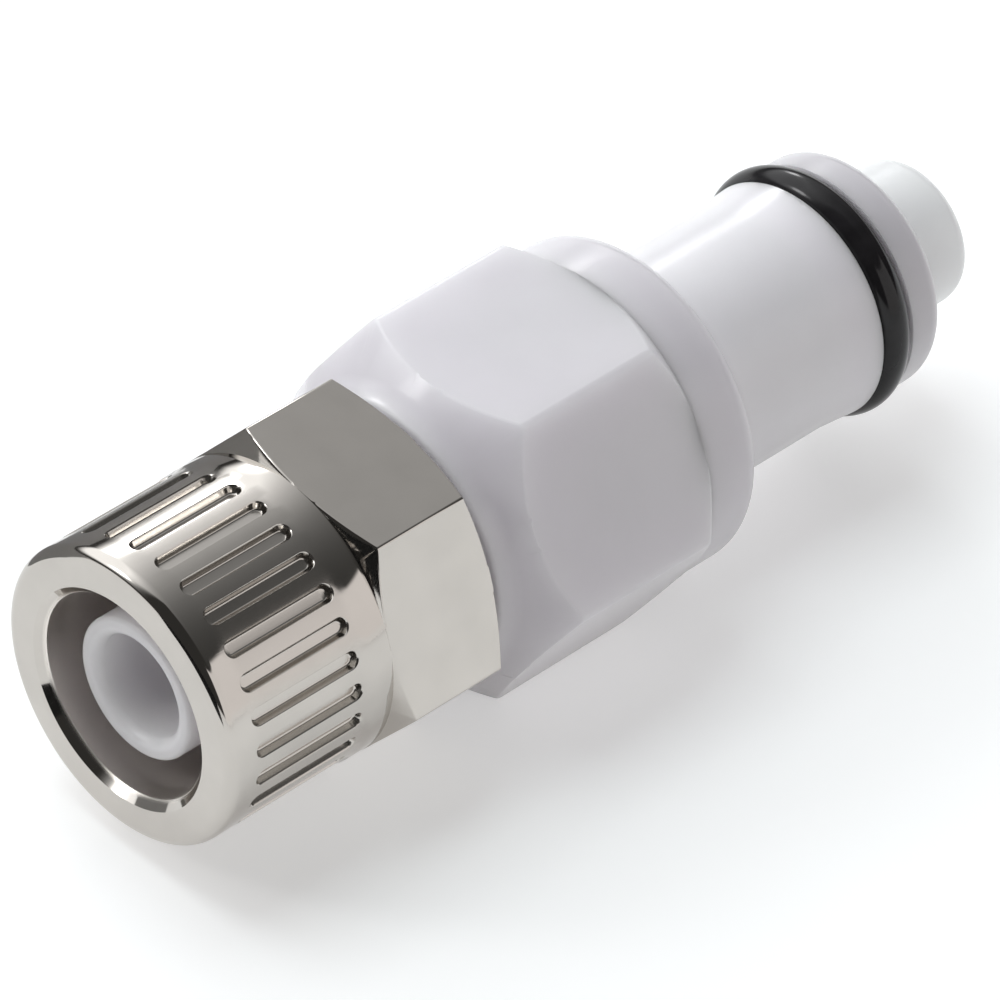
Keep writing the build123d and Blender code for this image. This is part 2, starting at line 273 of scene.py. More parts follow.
class Finishes(bpy.types.PropertyGroup):
    """Colours of the finishes and of the stage"""

    nickel: colour("Nickel", "Nickel plate on the nut", (0.530, 0.502, 0.468))
    white: colour("White plastic", "Moulded body and nose", (0.772, 0.740, 0.776))
    stem: colour("Stem plastic", "Moulded valve stem", (0.930, 0.915, 0.945))
    rubber: colour("Rubber", "O-rings", (0.012, 0.011, 0.012))
    steel: colour("Spring steel", "Valve spring", (0.560, 0.550, 0.530))
    floor: colour("Floor", "Floor under the coupling", (0.80, 0.80, 0.80))


def rounded(corners, steps=ARC_STEPS):
    """Points (x, radius) of a closed outline, whose corners are (x, radius) or (x, radius, fillet)."""
    outline = []
    for index, corner in enumerate(corners):
        here = Vector(corner[:2])
        if len(corner) == 2:
            outline.append(here)
            continue
        fillet = corner[2]
        before = (Vector(corners[index - 1][:2]) - here).normalized()
        after = (Vector(corners[(index + 1) % len(corners)][:2]) - here).normalized()
        half = before.angle(after) / 2
        centre = here + (before + after).normalized() * fillet / sin(half)
        start = (here + before * fillet / tan(half) - centre).normalized()
        end = (here + after * fillet / tan(half) - centre).normalized()
        outline += [centre + start.slerp(end, step / steps) * fillet for step in range(steps + 1)]
    return outline


def turned(name, outline, sides, first_angle=0.0, solid=False):
    """A turned piece: a ring at the first point, extruded from point to point, and closed.

    A solid one has outline ends on the axis, which are capped, and a hollow one closes on itself.
    """
    bpy.ops.object.select_all(action="DESELECT")
    x, radius = outline[0]
    bpy.ops.mesh.primitive_circle_add(
        vertices=sides, radius=radius, location=(x, 0, 0), rotation=(0, pi / 2, 0)
    )
    piece = bpy.context.object
    piece.name = piece.data.name = name
    bpy.ops.object.transform_apply(location=True, rotation=True, scale=True)
    bpy.ops.object.mode_set(mode="EDIT")
    first = piece_angle(bmesh.from_edit_mesh(piece.data).verts)
    turn_about_axis(first_angle - first)
    if solid:
        bpy.ops.mesh.edge_face_add()
        choose(lambda edge: True, "EDGE")
    stations = outline[1:] if solid else outline[1:] + outline[:1]
    for next_x, next_radius in stations:
        bpy.ops.mesh.extrude_edges_move(TRANSFORM_OT_translate={"value": (next_x - x, 0, 0)})
        scale = next_radius / radius
        bpy.ops.transform.resize(value=(1, scale, scale), center_override=(next_x, 0, 0))
        x, radius = next_x, next_radius
    if solid:
        bpy.ops.mesh.edge_face_add()
    tidy_mesh()
    return piece


def piece_angle(verts):
    """Angle about the axis of the first point of a ring."""
    verts.ensure_lookup_table()
    return atan2(-verts[0].co.y, verts[0].co.z)


def turn_about_axis(angle):
    """Turns what is selected about the axis, in edit mode, by an angle from +Z towards -Y."""
    mesh = bmesh.from_edit_mesh(bpy.context.edit_object.data)
    chosen = [vert for vert in mesh.verts if vert.select]
    bmesh.ops.rotate(mesh, verts=chosen, cent=(0, 0, 0), matrix=Matrix.Rotation(angle, 3, "X"))
    bmesh.update_edit_mesh(bpy.context.edit_object.data)


def tidy_mesh():
    """Merges points that lie together and turns all faces outwards, in edit mode."""
    bpy.ops.mesh.select_all(action="SELECT")
    bpy.ops.mesh.remove_doubles(threshold=MERGE)
    bpy.ops.mesh.normals_make_consistent(inside=False)


def choose(test, kind="FACE"):
    """In edit mode, selects just the faces or edges that pass a test."""
    bpy.ops.mesh.select_mode(type=kind)
    bpy.ops.mesh.select_all(action="DESELECT")
    mesh = bmesh.from_edit_mesh(bpy.context.edit_object.data)
    chosen = 0
    for element in mesh.faces if kind == "FACE" else mesh.edges:
        if test(element):
            element.select_set(True)
            chosen += 1
    bmesh.update_edit_mesh(bpy.context.edit_object.data)
    if not chosen:
        raise RuntimeError(f"nothing to shape on {bpy.context.edit_object.name}")


def middle(element):
    """Mean of the corners of a face or an edge."""
    points = [vert.co for vert in element.verts]
    return sum(points, Vector()) / len(points)


def radius_of(point):
    """Distance of a point from the axis."""
    return Vector((point.y, point.z)).length


def mill_hex(flat_r, turn):
    """Cuts six flats on the turned blank, in edit mode."""
    for flat in range(HEX_SIDES):
        angle = turn + flat * 2 * pi / HEX_SIDES
        normal = Vector((0, -sin(angle), cos(angle)))
        bpy.ops.mesh.select_all(action="SELECT")
        bpy.ops.mesh.bisect(
            plane_co=normal * flat_r, plane_no=normal, use_fill=True, clear_outer=True, threshold=MERGE
        )
    bpy.ops.mesh.select_all(action="SELECT")
    bpy.ops.mesh.remove_doubles(threshold=MILLED_MERGE)


def round_corners(flat_r, setback, steps):
    """Rounds the six edges between the flats."""

    def between_flats(edge):
        along = abs(edge.verts[0].co.x - edge.verts[1].co.x)
        far_out = radius_of(middle(edge)) > CORNER_REACH * flat_r
        return far_out and along > CORNER_LEAN * edge.calc_length()

    choose(between_flats, "EDGE")
    bpy.ops.mesh.bevel(offset=setback, segments=steps, profile=0.5, affect="EDGES", clamp_overlap=False)


def soften_chamfer(flat_r, width, steps):
    """Rounds the arcs where the flats meet the turned chamfers."""

    def meets_chamfer(edge):
        slopes = sorted(abs(face.normal.x) for face in edge.link_faces)
        if len(slopes) != 2 or radius_of(middle(edge)) <= ARC_REACH * flat_r:
            return False
        return slopes[0] < FLAT_SLOPE and slopes[1] > CHAMFER_SLOPE

    choose(meets_chamfer, "EDGE")
    bpy.ops.mesh.bevel(offset=width, segments=steps, profile=0.5, affect="EDGES", clamp_overlap=False)


def cut(piece, cutter):
    """Takes the cutter out of the piece."""
    taken = piece.modifiers.new("Cut", "BOOLEAN")
    taken.object = cutter
    taken.solver = "EXACT"
    bpy.ops.object.select_all(action="DESELECT")
    piece.select_set(True)
    bpy.context.view_layer.objects.active = piece
    bpy.ops.object.modifier_apply(modifier=taken.name)
    bpy.data.objects.remove(cutter)


def repeat_about_axis(count):
    """Copies all of the mesh in edit mode, evenly about the axis."""
    bpy.ops.mesh.select_all(action="SELECT")
    for _ in range(count - 1):
        bpy.ops.mesh.duplicate()
        turn_about_axis(2 * pi / count)


def finish_piece(piece, material, body, node):
    """Shades the piece, gives it its finish and ties it to the body that it moves with."""
    bpy.ops.object.mode_set(mode="OBJECT")
    bpy.ops.object.shade_smooth_by_angle(angle=SMOOTH_ANGLE)
    normals = piece.modifiers.new("Face weights", "WEIGHTED_NORMAL")
    normals.keep_sharp = True
    bpy.ops.object.modifier_apply(modifier=normals.name)
    piece.data.materials.clear()
    piece.data.materials.append(material)
    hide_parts(node)
    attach(piece, body)


def new_material(name, tint, roughness):
    """A material with nodes, and its shader."""
    material = bpy.data.materials.new(name)
    material.use_nodes = True
    shader = material.node_tree.nodes["Principled BSDF"]
    shader.inputs["Base Color"].default_value = (*tint, 1)
    shader.inputs["Roughness"].default_value = roughness
    return material, shader


def add_node(material, kind, **settings):
    """A new node of a material or of the world."""
    node = material.node_tree.nodes.new(kind)
    for name, value in settings.items():
        setattr(node, name, value)
    return node


def noise(material, vector, feature, detail=2.0):
    """Noise whose features measure about this many metres."""
    texture = add_node(material, "ShaderNodeTexNoise")
    texture.inputs["Scale"].default_value = 1 / feature
    texture.inputs["Detail"].default_value = detail
    material.node_tree.links.new(vector, texture.inputs["Vector"])
    return texture.outputs["Fac"]


def along_and_out(material):
    """The place on a turned surface, as its station and its distance from the axis."""
    links = material.node_tree.links
    place = add_node(material, "ShaderNodeTexCoord")
    parts = add_node(material, "ShaderNodeSeparateXYZ")
    across = add_node(material, "ShaderNodeVectorMath", operation="MULTIPLY")
    across.inputs[1].default_value = (0, 1, 1)
    radius = add_node(material, "ShaderNodeVectorMath", operation="LENGTH")
    joined = add_node(material, "ShaderNodeCombineXYZ")
    links.new(place.outputs["Object"], parts.inputs[0])
    links.new(place.outputs["Object"], across.inputs[0])
    links.new(across.outputs[0], radius.inputs[0])
    links.new(parts.outputs["X"], joined.inputs["X"])
    links.new(radius.outputs["Value"], joined.inputs["Y"])
    return joined.outputs[0]


def object_place(material):
    """The place in the object's own frame."""
    return add_node(material, "ShaderNodeTexCoord").outputs["Object"]


def bump(material, shader, height, strength):
    """Shallow relief."""
    relief = add_node(material, "ShaderNodeBump")
    relief.inputs["Strength"].default_value = strength
    relief.inputs["Distance"].default_value = RELIEF
    material.node_tree.links.new(height, relief.inputs["Height"])
    material.node_tree.links.new(relief.outputs["Normal"], shader.inputs["Normal"])


def vary(material, factor, socket, low, high):
    """Lets a number of the finish run between two values."""
    spread = add_node(material, "ShaderNodeMapRange")
    spread.inputs["From Min"].default_value = NOISE_RANGE[0]
    spread.inputs["From Max"].default_value = NOISE_RANGE[1]
    spread.inputs["To Min"].default_value = low
    spread.inputs["To Max"].default_value = high
    material.node_tree.links.new(factor, spread.inputs["Value"])
    material.node_tree.links.new(spread.outputs["Result"], socket)


def tint_between(material, factor, socket, tint, factors):
    """Lets the colour of the finish run between two shades of its tint."""
    ramp = add_node(material, "ShaderNodeValToRGB")
    for stop, position, share in zip(ramp.color_ramp.elements, NOISE_RANGE, factors):
        stop.position = position
        stop.color = (*shade_of(tint, share), 1)
    material.node_tree.links.new(factor, ramp.inputs["Fac"])
    material.node_tree.links.new(ramp.outputs["Color"], socket)


def rising(material, value, start, end, kind="LINEAR"):
    """From 0 where the value is at the start to 1 where it is at the end."""
    step = add_node(material, "ShaderNodeMapRange", interpolation_type=kind)
    step.inputs["From Min"].default_value = start
    step.inputs["From Max"].default_value = end
    material.node_tree.links.new(value, step.inputs["Value"])
    return step.outputs["Result"]


def node_math(material, operation, *values):
    """A sum on numbers and sockets."""
    node = add_node(material, "ShaderNodeMath", operation=operation)
    for socket, value in zip(node.inputs, values):
        if isinstance(value, (int, float)):
            socket.default_value = value
        else:
            material.node_tree.links.new(value, socket)
    return node.outputs[0]


def shade_of(tint, factor):
    """A tint made lighter or darker."""
    return tuple(min(1.0, channel * factor) for channel in tint)


def nickel_plate(name, tint, bore_r, ribs_front, ribs_back):
    """Bright nickel over turned brass, with fine turning marks, duller in the bore and on the ribs, and
    painted lighter in the bore as painted light.
    """
    blotch, mark = 2.5 * MM, 0.09 * MM
    bore_edge, rib_edge = 0.15 * MM, 0.3 * MM
    material, shader = new_material(name, tint, NICKEL_ROUGHNESS[0])
    shader.inputs["Metallic"].default_value = 1.0
    links = material.node_tree.links
    turned_place = along_and_out(material)
    blotches = noise(material, object_place(material), blotch, detail=3.0)
    place_parts = add_node(material, "ShaderNodeSeparateXYZ")
    links.new(turned_place, place_parts.inputs[0])
    station, radius = place_parts.outputs["X"], place_parts.outputs["Y"]
    inside = rising(material, radius, bore_r + bore_edge, bore_r)
    # Blotchy tone, made lighter in the bore as painted light
    tone_and_painted_bore_light = add_node(material, "ShaderNodeMix", data_type="RGBA")
    tint_between(material, blotches, tone_and_painted_bore_light.inputs["A"], tint, NICKEL_TINTS)
    tone_and_painted_bore_light.inputs["B"].default_value = (*shade_of(tint, NICKEL_PAINTED_LIGHT_IN_BORE), 1)
    links.new(inside, tone_and_painted_bore_light.inputs["Factor"])
    links.new(tone_and_painted_bore_light.outputs["Result"], shader.inputs["Base Color"])
    past_front = rising(material, station, ribs_front - rib_edge, ribs_front + rib_edge)
    before_back = rising(material, station, ribs_back + rib_edge, ribs_back - rib_edge)
    on_ribs = node_math(material, "MULTIPLY", past_front, before_back)
    gloss = add_node(material, "ShaderNodeMath", operation="ADD")
    vary(material, blotches, gloss.inputs[0], *NICKEL_ROUGHNESS)
    links.new(node_math(material, "MULTIPLY", on_ribs, MORE_ROUGH_ON_RIBS), gloss.inputs[1])
    more_inside = node_math(material, "MULTIPLY", inside, MORE_ROUGH_IN_BORE)
    links.new(node_math(material, "ADD", gloss.outputs[0], more_inside), shader.inputs["Roughness"])
    along = add_node(material, "ShaderNodeVectorMath", operation="MULTIPLY")
    along.inputs[1].default_value = (1, 0, 0)
    links.new(turned_place, along.inputs[0])
    bump(material, shader, noise(material, along.outputs[0], mark), strength=0.015)
    return material


def moulded_plastic(name, tint, depth, shades=(), bore_r=0.0):
    """Moulded plastic that lets light in to a depth, with a faint grain.

    It has either shades, which are (station, factor) pairs that darken it along the axis, as painted
    shade where they darken it beside the O-ring, or a bore in which it is painted lighter, as painted
    light, or neither.
    """
    cloud, grain_size, bore_edge = 4.0 * MM, 0.16 * MM, 0.5 * MM
    material, shader = new_material(name, tint, MOULDED_ROUGHNESS[0])
    links = material.node_tree.links
    shader.inputs["Subsurface Weight"].default_value = 1.0
    shader.inputs["Subsurface Radius"].default_value = (1.0, 1.0, 1.0)
    shader.inputs["Subsurface Scale"].default_value = depth
    shader.inputs["IOR"].default_value = 1.48
    shader.inputs["Coat Weight"].default_value = COAT_WEIGHT
    shader.inputs["Coat Roughness"].default_value = COAT_ROUGHNESS
    place = object_place(material)
    flow = noise(material, place, cloud, detail=3.0)
    tone_with_painted_light_and_shade = add_node(material, "ShaderNodeMix", data_type="RGBA", blend_type="MULTIPLY")
    tone_with_painted_light_and_shade.inputs["Factor"].default_value = 1.0
    tint_between(material, flow, tone_with_painted_light_and_shade.inputs["A"], tint, MOULDED_TINTS)
    tone_with_painted_light_and_shade.inputs["B"].default_value = (1, 1, 1, 1)
    links.new(tone_with_painted_light_and_shade.outputs["Result"], shader.inputs["Base Color"])
    # The shades darken it along the axis; beside the O-ring that darkening is painted shade
    if shades:
        station = add_node(material, "ShaderNodeSeparateXYZ")
        links.new(place, station.inputs[0])
        share = add_node(material, "ShaderNodeMapRange")
        first, last = shades[0][0], shades[-1][0]
        share.inputs["From Min"].default_value = first
        share.inputs["From Max"].default_value = last
        links.new(station.outputs["X"], share.inputs["Value"])
        ramp = add_node(material, "ShaderNodeValToRGB")
        stops = ramp.color_ramp.elements
        for x, _ in shades[1:-1]:
            stops.new((x - first) / (last - first))
        for stop, (_, factor) in zip(stops, shades):
            stop.color = (factor, factor, factor, 1)
        links.new(share.outputs["Result"], ramp.inputs["Fac"])
        links.new(ramp.outputs["Color"], tone_with_painted_light_and_shade.inputs["B"])
    # Painted light: the colour is made lighter in the bore
    if bore_r:
        parts = add_node(material, "ShaderNodeSeparateXYZ")
        links.new(along_and_out(material), parts.inputs[0])
        painted_bore_light = add_node(material, "ShaderNodeMix", data_type="RGBA")
        inside = rising(material, parts.outputs["Y"], bore_r + bore_edge, bore_r)
        links.new(inside, painted_bore_light.inputs["Factor"])
        painted_bore_light.inputs["A"].default_value = (1, 1, 1, 1)
        painted_bore_light.inputs["B"].default_value = (*[MOULDED_PAINTED_LIGHT_IN_BORE] * 3, 1)
        links.new(painted_bore_light.outputs["Result"], tone_with_painted_light_and_shade.inputs["B"])
    grain = noise(material, place, grain_size, detail=3.0)
    vary(material, grain, shader.inputs["Roughness"], *MOULDED_ROUGHNESS)
    bump(material, shader, grain, strength=0.06)
    return material


def black_rubber(name, tint):
    """Lubricated black rubber."""
    smear, grain = 1.2 * MM, 0.12 * MM
    material, shader = new_material(name, tint, RUBBER_ROUGHNESS[0])
    shader.inputs["Specular IOR Level"].default_value = 0.3
    place = object_place(material)
    film = noise(material, place, smear, detail=4.0)
    vary(material, film, shader.inputs["Roughness"], *RUBBER_ROUGHNESS)
    tint_between(material, film, shader.inputs["Base Color"], tint, RUBBER_TINTS)
    bump(material, shader, noise(material, place, grain), strength=0.1)
    return material


def spring_steel(name, tint):
    """Drawn wire."""
    streak = 0.2 * MM
    material, shader = new_material(name, tint, STEEL_ROUGHNESS[0])
    shader.inputs["Metallic"].default_value = 1.0
    streaks = noise(material, object_place(material), streak, detail=3.0)
    vary(material, streaks, shader.inputs["Roughness"], *STEEL_ROUGHNESS)
    tint_between(material, streaks, shader.inputs["Base Color"], tint, STEEL_TINTS)
    bump(material, shader, streaks, strength=0.1)
    return material


def finish(name, make, *values):
    """The finish of this name, made once. model.glb has plain materials of the slots' names."""
    return bpy.data.materials.get(name) or make(name, *values)


def direction(azimuth, elevation):
    """Direction of an azimuth from -Y towards +X and an elevation, in degrees."""
    level = cos(radians(elevation))
    return Vector((
        sin(radians(azimuth)) * level,
        -cos(radians(azimuth)) * level,
        sin(radians(elevation)),
    ))


class COUPLING_OT_compression_nut(bpy.types.Operator):
    """Turns the nut, mills its hex and cuts the grooves between its ribs"""

    bl_idname = "coupling.compression_nut"
    bl_label = "Compression nut"

    def execute(self, context):
        sizes = context.scene.coupling_nut
        low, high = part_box("compression_nut")
        front, back = low.x, high.x
        hex_front = back - sizes.hex_length
        barrel_r = sizes.flat_r - sizes.barrel_setback
        collar_r = sizes.flat_r - sizes.collar_setback
        blank_r = sizes.flat_r / cos(pi / HEX_SIDES) + sizes.barrel_edge
        slope = (blank_r - collar_r) * tan(sizes.chamfer)
        ribs_front = front + sizes.band_length
        ribs_back = hex_front - sizes.collar_length
        cone_front = front + sizes.squeeze_front
        outline = rounded([
            (front, sizes.mouth_r + sizes.mouth_chamfer),
            (front, barrel_r, sizes.barrel_edge),
            (ribs_front, barrel_r),
            (ribs_back, barrel_r),
            (ribs_back + sizes.collar_slope, collar_r),
            (hex_front, collar_r),
            (hex_front + slope, blank_r),
            (back - slope, blank_r),
            (back, collar_r),
            (back, sizes.bore_r + sizes.lead_in),
            (back - sizes.lead_in, sizes.bore_r),
            (cone_front + sizes.squeeze_length, sizes.bore_r),
            (cone_front, sizes.mouth_r),
            (front + sizes.mouth_chamfer, sizes.mouth_r),
        ])
        corner = sizes.turn + pi / HEX_SIDES
        piece = turned("nut_plated", outline, sizes.sides, corner)
        mill_hex(sizes.flat_r, sizes.turn)
        bpy.ops.object.mode_set(mode="OBJECT")
        cut(piece, self.grooves(sizes, barrel_r, ribs_front, ribs_back, corner + sizes.rib_offset))
        bpy.ops.object.mode_set(mode="EDIT")
        round_corners(sizes.flat_r, sizes.corner_edge, sizes.corner_steps)
        soften_chamfer(sizes.flat_r, sizes.chamfer_edge, sizes.chamfer_steps)
        finish_piece(
            piece,
            finish(
                "Bright nickel", nickel_plate, context.scene.coupling_finishes.nickel,
                sizes.mouth_r, ribs_front, ribs_back,
            ),
            "nut",
            "compression_nut",
        )
        return {"FINISHED"}

    def grooves(self, sizes, barrel_r, ribs_front, ribs_back, first_angle):
        """The cutter for the grooves between the ribs, which have round ends and soft edges."""
        floor_r = barrel_r - sizes.rib_depth
        top_r = barrel_r + sizes.rib_depth
        half_floor, half_width = sizes.groove_floor / 2, sizes.groove_width / 2
        flare = GROOVE_FLARE * sizes.groove_edge
        axis_r = sizes.groove_floor / CORE_RATIO
        profile = rounded([
            (floor_r, axis_r),
            (floor_r, half_floor, sizes.groove_floor_edge),
            (barrel_r, half_width, sizes.groove_edge),
            (barrel_r + flare / FLARE_RATIO, half_width + flare),
            (top_r, half_width + flare),
            (top_r, axis_r),
        ], GROOVE_ARC_STEPS)
        sides = sizes.groove_sides
        cutter = turned("groove_cutter", profile, sides, pi / sides, solid=True)
        bpy.ops.mesh.select_all(action="SELECT")
        mesh = bmesh.from_edit_mesh(cutter.data)
        bmesh.ops.rotate(mesh, verts=mesh.verts, cent=(0, 0, 0), matrix=Matrix.Rotation(-pi / 2, 3, "Y"))
        for vert in mesh.verts:
            if vert.co.x > 0:
                vert.co.x += ribs_back - sizes.groove_setback - half_width
            else:
                vert.co.x += ribs_front + half_width
        bmesh.update_edit_mesh(cutter.data)
        turn_about_axis(first_angle)
        repeat_about_axis(sizes.rib_count)
        tidy_mesh()
        bpy.ops.object.mode_set(mode="OBJECT")
        return cutter


class COUPLING_OT_hex_body(bpy.types.Operator):
    """Turns the moulded body and forms its hex"""

    bl_idname = "coupling.hex_body"
    bl_label = "Hex body"

    def execute(self, context):
        sizes = context.scene.coupling_body
        low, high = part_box("hex_body")
        insert_end, flange_back = low.x, high.x
        hex_front = flange_back - sizes.hex_length
        neck_front = hex_front - sizes.neck_length
        spigot_front = neck_front - sizes.spigot_length
        neck_r = sizes.flat_r - sizes.neck_setback
        blank_r = sizes.flat_r / cos(pi / HEX_SIDES) + sizes.neck_setback
        relief_r = sizes.thread_r - sizes.relief_depth
        guide_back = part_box("spring_guide")[0].x
        outline = rounded([
            (insert_end, sizes.flow_r, sizes.insert_mouth),
            (insert_end, sizes.insert_r, sizes.insert_edge),
            (spigot_front - sizes.cone_length, sizes.insert_r),
            (spigot_front, sizes.cone_r),
            (spigot_front, sizes.thread_r - sizes.lead_in),
            (spigot_front + sizes.lead_in, sizes.thread_r),
            (neck_front - sizes.relief_length, sizes.thread_r),
            (neck_front - sizes.relief_length, relief_r),
            (neck_front, relief_r),
            (neck_front, neck_r, sizes.neck_edge),
            (hex_front, neck_r, sizes.neck_blend),
            (hex_front + blank_r - neck_r, blank_r),
            (flange_back - (blank_r - sizes.flat_r), blank_r),
            (flange_back, sizes.flat_r),
            (flange_back, sizes.socket_r),
            (guide_back, sizes.socket_r),
            (guide_back, sizes.guide_open_r),
            (guide_back - sizes.funnel_length, sizes.flow_r),
        ])
        piece = turned("body_moulded", outline, sizes.sides, pi / HEX_SIDES)
        mill_hex(sizes.flat_r, 0.0)
        round_corners(sizes.flat_r, sizes.corner_edge, sizes.corner_steps)
        soften_chamfer(sizes.flat_r, sizes.chamfer_edge, sizes.chamfer_steps)
        finish_piece(
            piece,
            finish(
                "White moulding", moulded_plastic, context.scene.coupling_finishes.white,
                BODY_DEPTH, (), sizes.flow_r,
            ),
            "body",
            "hex_body",
        )
        return {"FINISHED"}


class COUPLING_OT_nose_body(bpy.types.Operator):
    """Turns the nose with its flange, its O-ring groove and the plug inside the body"""

    bl_idname = "coupling.nose_body"
    bl_label = "Nose body"

    def execute(self, context):
        sizes = context.scene.coupling_nose
        low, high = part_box("nose_body")
        plug_back, lip_end = low.x, high.x
        flange_r = high.z
        ring_low, ring_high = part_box("nose_oring")
        groove_back = ring_low.x - sizes.ring_side_play
        groove_front = ring_high.x + sizes.ring_side_play
        ring_groove_r = ring_high.z - (ring_high.x - ring_low.x)
        flange_back = -sizes.flange_length
        flare_r = sizes.nose_r + sizes.flare_rise
        seal_back = plug_back + sizes.seal_groove_back
        seal_front = seal_back + sizes.seal_groove_length
        seal_groove_r = sizes.plug_r - sizes.seal_groove_depth
        seat_front = groove_back - sizes.seat_setback
        outline = rounded([
            (plug_back, sizes.chamber_r),
            (plug_back, sizes.plug_r),
            (seal_back, sizes.plug_r),
            (seal_back, seal_groove_r),
            (seal_front, seal_groove_r),
            (seal_front, sizes.plug_r),
            (flange_back, sizes.plug_r),
            (flange_back, flange_r - sizes.flange_back_bevel),
            (flange_back + sizes.flange_back_bevel, flange_r),
            (0, flange_r, sizes.flange_edge),
            (0, sizes.nose_r, sizes.nose_root),
            (groove_back - sizes.flare_length, sizes.nose_r, sizes.flare_blend),
            (groove_back, flare_r),
            (groove_back, ring_groove_r),
            (groove_front, ring_groove_r),
            (groove_front, flare_r),
            (lip_end, flare_r, sizes.lip_edge),
            (lip_end, sizes.bore_r + sizes.mouth_bevel),
            (lip_end - sizes.mouth_bevel, sizes.bore_r),
            (seat_front, sizes.bore_r),
            (seat_front - (sizes.chamber_r - sizes.bore_r), sizes.chamber_r),
        ], FINE_ARC_STEPS)
        piece = turned("nose_moulded", outline, sizes.sides)
        # Darker at the flange, and darker towards the O-ring and along the lip, which is painted shade
        # beside the black O-ring
        shades = (
            (flange_back, FLANGE_SHADE),
            (0, FLANGE_SHADE),
            (sizes.root_length, NOSE_SHADE),
            (groove_back - sizes.flare_length, NOSE_SHADE),
            (groove_back, FLARE_PAINTED_SHADE),
            (groove_front, LIP_PAINTED_SHADES[0]),
            (lip_end, LIP_PAINTED_SHADES[1]),
        )
        tint = shade_of(context.scene.coupling_finishes.white, NOSE_TINT)
        finish_piece(
            piece,
            finish("Nose moulding", moulded_plastic, tint, NOSE_DEPTH, shades),
            "body",
            "nose_body",
        )
        return {"FINISHED"}


class COUPLING_OT_nose_oring(bpy.types.Operator):
    """Forms the O-ring, with a flat side on the floor of its groove"""

    bl_idname = "coupling.nose_oring"
    bl_label = "Nose O-ring"

    def execute(self, context):
        sizes = context.scene.coupling_nose
        low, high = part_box("nose_oring")
        section_r = (high.x - low.x) / 2
        centre = Vector(((high.x + low.x) / 2, high.z - section_r))
        sides = sizes.ring_section_sides
        outline = []
        for side in range(sides):
            angle = (side + 0.5) * 2 * pi / sides
            outline.append(centre + Vector((sin(angle), -cos(angle))) * section_r)
        piece = turned("oring_nose", outline, sizes.ring_sides)
        finish_piece(
            piece,
            finish("Black rubber", black_rubber, context.scene.coupling_finishes.rubber),
            "body",
            "nose_oring",
        )
        return {"FINISHED"}


class COUPLING_OT_valve_stem(bpy.types.Operator):
    """Turns the valve stem and cuts its ports"""

    bl_idname = "coupling.valve_stem"
    bl_label = "Valve stem"

    def execute(self, context):
        sizes = context.scene.coupling_stem
        low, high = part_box("valve_stem")
        tail_end, tip = low.x, high.x
        head_r = high.z
        head_back = sizes.head_front - sizes.head_thickness
        seal_front = sizes.head_front + sizes.seal_groove_length
        bore_r = sizes.stem_r - sizes.wall
        ports_back = seal_front + sizes.port_setback
        outline = rounded([
            (tail_end, AXIS_R),
            (tail_end, sizes.tail_r - sizes.tail_bevel),
            (tail_end + sizes.tail_bevel, sizes.tail_r),
            (head_back - sizes.boss_length, sizes.tail_r),
            (head_back - sizes.boss_length, sizes.boss_r),
            (head_back, sizes.boss_r),
            (head_back, head_r),
            (sizes.head_front, head_r),
            (sizes.head_front, sizes.seal_groove_r),
            (seal_front, sizes.seal_groove_r),
            (seal_front, sizes.stem_r),
            (tip, sizes.stem_r, sizes.tip_edge),
            (tip, bore_r + sizes.mouth_bevel),
            (tip - sizes.mouth_bevel, bore_r),
            (ports_back, bore_r),
            (ports_back, AXIS_R),
        ], FINE_ARC_STEPS)
        piece = turned("stem_moulded", outline, sizes.sides, solid=True)
        bpy.ops.object.mode_set(mode="OBJECT")
        cut(piece, self.ports(sizes, ports_back, bore_r))
        finish_piece(
            piece,
            finish("Valve moulding", moulded_plastic, context.scene.coupling_finishes.stem, STEM_DEPTH),
            "valve",
            "valve_stem",
        )
        return {"FINISHED"}

    def ports(self, sizes, ports_back, bore_r):
        """The cutter for the ports."""
        bpy.ops.object.select_all(action="DESELECT")
        bpy.ops.mesh.primitive_cube_add(
            size=1,
            location=(ports_back + sizes.port_length / 2, 0, sizes.stem_r),
            scale=(sizes.port_length, sizes.port_width, 2 * bore_r),
        )
        cutter = bpy.context.object
        bpy.ops.object.transform_apply(location=True, rotation=True, scale=True)
        bpy.ops.object.mode_set(mode="EDIT")
        repeat_about_axis(sizes.port_count)
        bpy.ops.object.mode_set(mode="OBJECT")
        return cutter


